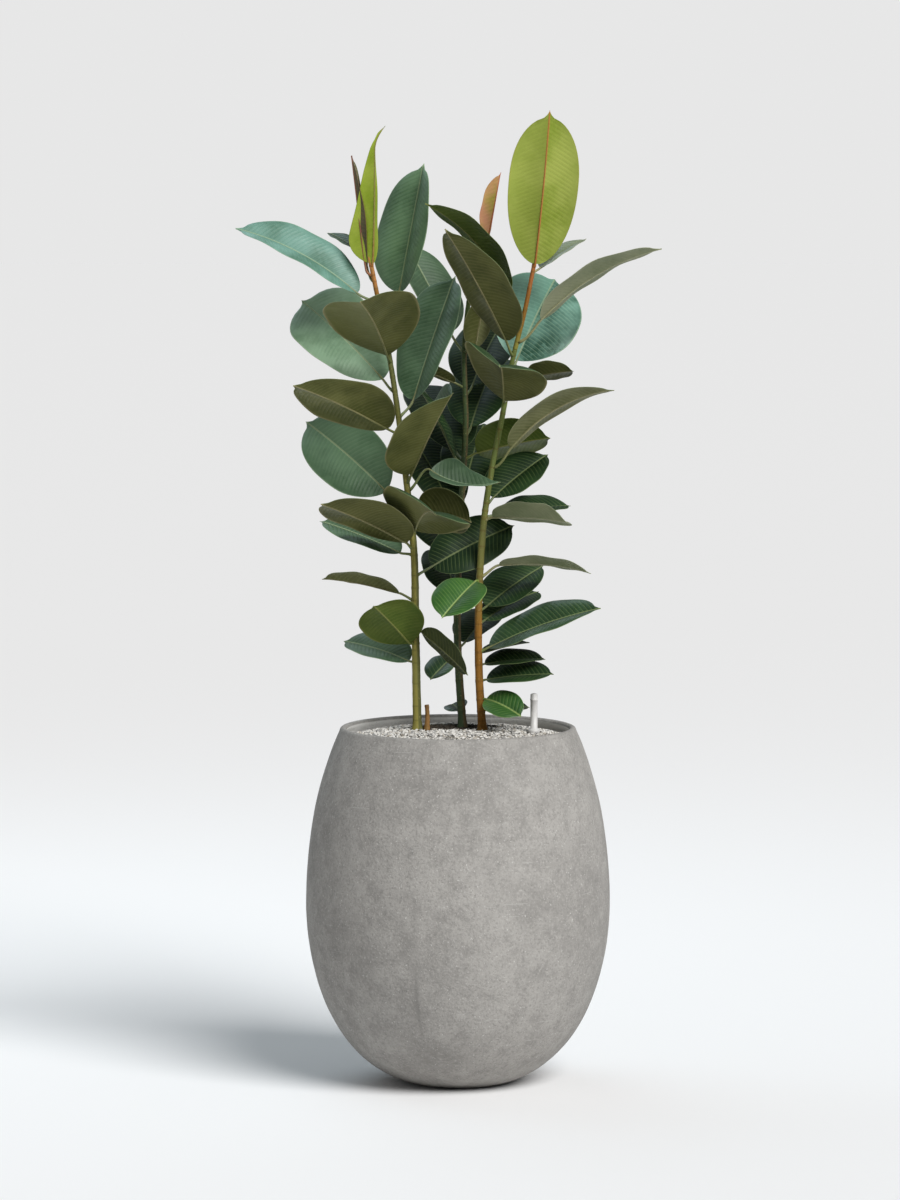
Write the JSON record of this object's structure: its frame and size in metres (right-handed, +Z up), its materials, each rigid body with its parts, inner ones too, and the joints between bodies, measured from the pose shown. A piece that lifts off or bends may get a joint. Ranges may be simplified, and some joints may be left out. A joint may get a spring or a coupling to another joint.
{
  "type": "potted robusta rubber plant",
  "caption": "Bushy robusta rubber plant with slender leaning stems and large oval leaves, standing in a tall egg-shaped concrete planter with fine gravel.",
  "frame": {"origin": "centre of the planter's flat underside, on the surface it stands on", "axes": "+Z up along the planter's axis; the picture looks along +Y, with +X to its right"},
  "size_m": [0.7099, 0.5315, 1.6309],
  "materials": {
    "concrete": "mottled mid grey fibre concrete, matt",
    "earth": "dark potting soil",
    "stones": "pale fine gravel",
    "bark": "thin brown to olive bark",
    "leaf": "glossy dark green leaf with an olive underside",
    "young_leaf": "yellow-green young leaves with a red-brown midrib",
    "gauge_plastic": "white plastic"
  },
  "bodies": {
    "root": {"basal_stub": "bark", "gravel": "stones", "leaf_left_01": "leaf", "leaf_left_02": "leaf", "leaf_left_03": "leaf", "leaf_left_04": "leaf", "leaf_left_05": "leaf", "leaf_left_06": "leaf", "leaf_left_07": "leaf", "leaf_left_08": "leaf", "leaf_left_09": "leaf", "leaf_left_10": "leaf", "leaf_left_11": "leaf", "leaf_left_12": "leaf", "leaf_left_13": "leaf", "leaf_left_14": "leaf", "leaf_left_15": "leaf", "leaf_left_16": "leaf", "leaf_middle_01": "leaf", "leaf_middle_02": "leaf", "leaf_middle_03": "leaf", "leaf_middle_04": "leaf", "leaf_middle_05": "leaf", "leaf_middle_06": "leaf", "leaf_middle_07": "leaf", "leaf_middle_08": "leaf", "leaf_middle_09": "leaf", "leaf_middle_10": "leaf", "leaf_middle_11": "leaf", "leaf_middle_12": "leaf", "leaf_middle_13": "leaf", "leaf_middle_14": "leaf", "leaf_middle_15": "leaf", "leaf_right_01": "leaf", "leaf_right_02": "leaf", "leaf_right_03": "leaf", "leaf_right_04": "leaf", "leaf_right_05": "leaf", "leaf_right_06": "leaf", "leaf_right_07": "leaf", "leaf_right_08": "leaf", "leaf_right_09": "leaf", "leaf_right_10": "leaf", "leaf_right_11": "leaf", "leaf_right_12": "leaf", "leaf_right_13": "leaf", "leaf_right_14": "leaf", "leaf_right_15": "leaf", "leaf_right_16": "leaf", "leaf_right_17": "leaf", "leaf_right_18": "leaf", "planter": "concrete", "shoot_left": "young_leaf", "shoot_middle": "young_leaf", "shoot_right": "young_leaf", "soil": "earth", "stem_left": "bark", "stem_middle": "bark", "stem_right": "bark", "water_gauge": "gauge_plastic"}
  },
  "joints": []
}
